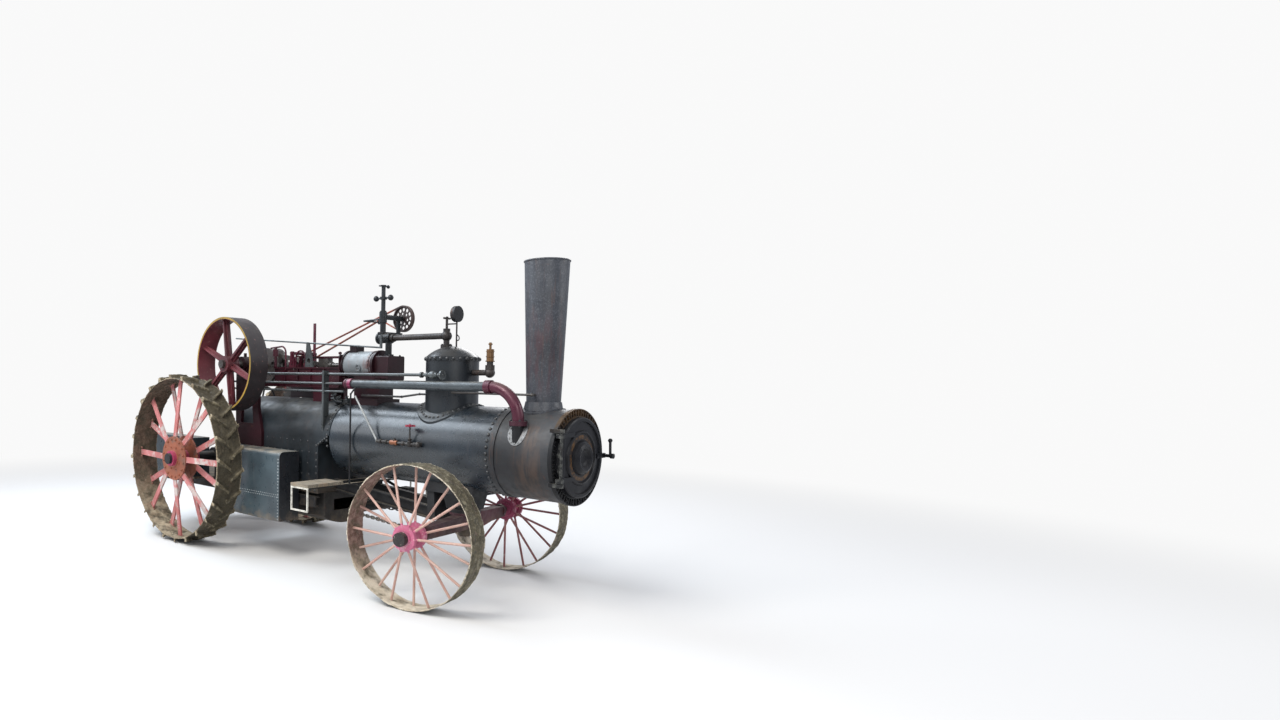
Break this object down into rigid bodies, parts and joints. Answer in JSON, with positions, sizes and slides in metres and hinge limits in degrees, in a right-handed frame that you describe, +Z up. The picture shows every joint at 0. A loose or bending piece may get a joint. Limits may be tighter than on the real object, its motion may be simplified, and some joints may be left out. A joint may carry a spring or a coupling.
{
  "type": "steam traction engine",
  "caption": "Steam traction engine: horizontal boiler, tall chimney, side flywheel, spoked wheels with chevron lugs, turned front axle.",
  "frame": {"origin": "on the ground, under the middle of the bounding box", "axes": "+X to the front (chimney end), +Y to the engine's left, +Z up"},
  "size_m": [5.6448, 2.06, 2.655],
  "materials": {
    "boiler_black": "satin",
    "smokebox_black": "matte",
    "chimney_iron": "satin",
    "maroon": "satin",
    "dark_maroon": "satin",
    "spoke_red": "matte",
    "front_red": "matte",
    "rusty_rim": "rough",
    "frame_black": "matte",
    "tank_blue": "satin",
    "pan_brown": "rough",
    "lagging": "satin",
    "iron": "rough",
    "steel": "worn",
    "pipe_grey": "satin",
    "belt_brown": "worn",
    "old_wood": "rough"
  },
  "bodies": {
    "root": {"boiler_barrel": "boiler_black", "firebox_shell": "boiler_black", "ash_pan": "pan_brown", "smokebox_shell": "smokebox_black", "smokebox_ring": "smokebox_black", "chimney": "chimney_iron", "steam_dome": "boiler_black", "dome_fittings": "iron", "governor": "frame_black", "governor_belt": "belt_brown", "cylinder_block": "dark_maroon", "cylinder_jacket": "lagging", "engine_bed": "maroon", "crosshead": "steel", "connecting_rod": "steel", "valve_gear": "maroon", "bearing_brackets": "dark_maroon", "exhaust_pipe": "pipe_grey", "side_rods": "steel", "feed_pipe": "steel", "side_tank": "tank_blue", "rear_frame": "frame_black", "platform": "old_wood", "rear_bunkers": "tank_blue", "front_frame": "frame_black", "steering_gear": "frame_black", "side_steps": "old_wood"},
    "door": {"smokebox_door": "smokebox_black"},
    "fire_door": {"fire_door": "iron"},
    "pulley": {"governor_pulley": "dark_maroon"},
    "crank": {"crankshaft": "steel", "flywheel": "maroon"},
    "idler": {"intermediate_gear": "iron"},
    "rear_right": {"rear_rim_right": "rusty_rim", "rear_hub_right": "spoke_red"},
    "rear_left": {"rear_rim_left": "rusty_rim", "rear_hub_left": "spoke_red", "master_gear": "iron"},
    "axle": {"front_axle": "dark_maroon"},
    "front_right": {"front_rim_right": "rusty_rim", "front_hub_right": "front_red"},
    "front_left": {"front_rim_left": "rusty_rim", "front_hub_left": "front_red"},
    "chain_right": {"steering_chain_right": "iron"},
    "chain_left": {"steering_chain_left": "iron"}
  },
  "joints": [
    {"name": "steer", "type": "hinge", "parent": "root", "child": "axle", "pos_m": [1.6775, 0, 0.553], "axis": [0, 0, 1], "range_deg": [-40, 20]},
    {"name": "front_right_spin", "type": "hinge", "parent": "axle", "child": "front_right", "pos_m": [1.82033, -0.81, 0.553], "axis": [-0.1736, 0.9848, 0], "continuous": true},
    {"name": "front_left_spin", "type": "hinge", "parent": "axle", "child": "front_left", "pos_m": [1.53467, 0.81, 0.553], "axis": [-0.1736, 0.9848, 0], "continuous": true},
    {"name": "rear_right_spin", "type": "hinge", "parent": "root", "child": "rear_right", "pos_m": [-1.4025, -0.83, 0.878], "axis": [0, 1, 0], "continuous": true},
    {"name": "rear_left_spin", "type": "hinge", "parent": "root", "child": "rear_left", "pos_m": [-1.4025, 0.83, 0.878], "axis": [0, 1, 0], "continuous": true},
    {"name": "idler_spin", "type": "hinge", "parent": "root", "child": "idler", "pos_m": [-1.03357, 0.5, 1.33586], "axis": [0, 1, 0], "continuous": true},
    {"name": "crank_spin", "type": "hinge", "parent": "root", "child": "crank", "pos_m": [-0.9785, 0, 1.865], "axis": [0, 1, 0], "continuous": true},
    {"name": "governor_spin", "type": "hinge", "parent": "root", "child": "pulley", "pos_m": [0.6805, 0.28, 2.31], "axis": [0, 1, 0], "continuous": true},
    {"name": "door_swing", "type": "hinge", "parent": "root", "child": "door", "pos_m": [2.7745, -0.33, 1.175], "axis": [0, 0, 1], "range_deg": [-110, 0]},
    {"name": "fire_door_swing", "type": "hinge", "parent": "root", "child": "fire_door", "pos_m": [-1.1338, 0.205, 1.13], "axis": [0, 0, 1], "range_deg": [-120, 0]},
    {"name": "chain_right_turn", "type": "hinge", "parent": "axle", "child": "chain_right", "pos_m": [1.66771, -0.42821, 0.49], "axis": [0, 0, 1], "range_deg": [-25, 45]},
    {"name": "chain_left_turn", "type": "hinge", "parent": "axle", "child": "chain_left", "pos_m": [1.52184, 0.39903, 0.49], "axis": [0, 0, 1], "range_deg": [-25, 45]}
  ],
  "couplings": [
    {"joint": "idler_spin", "follows": "rear_left_spin", "ratio": -3.6667},
    {"joint": "governor_spin", "follows": "crank_spin", "ratio": 0.43333},
    {"joint": "chain_right_turn", "follows": "steer", "ratio": -1},
    {"joint": "chain_left_turn", "follows": "steer", "ratio": -1}
  ]
}
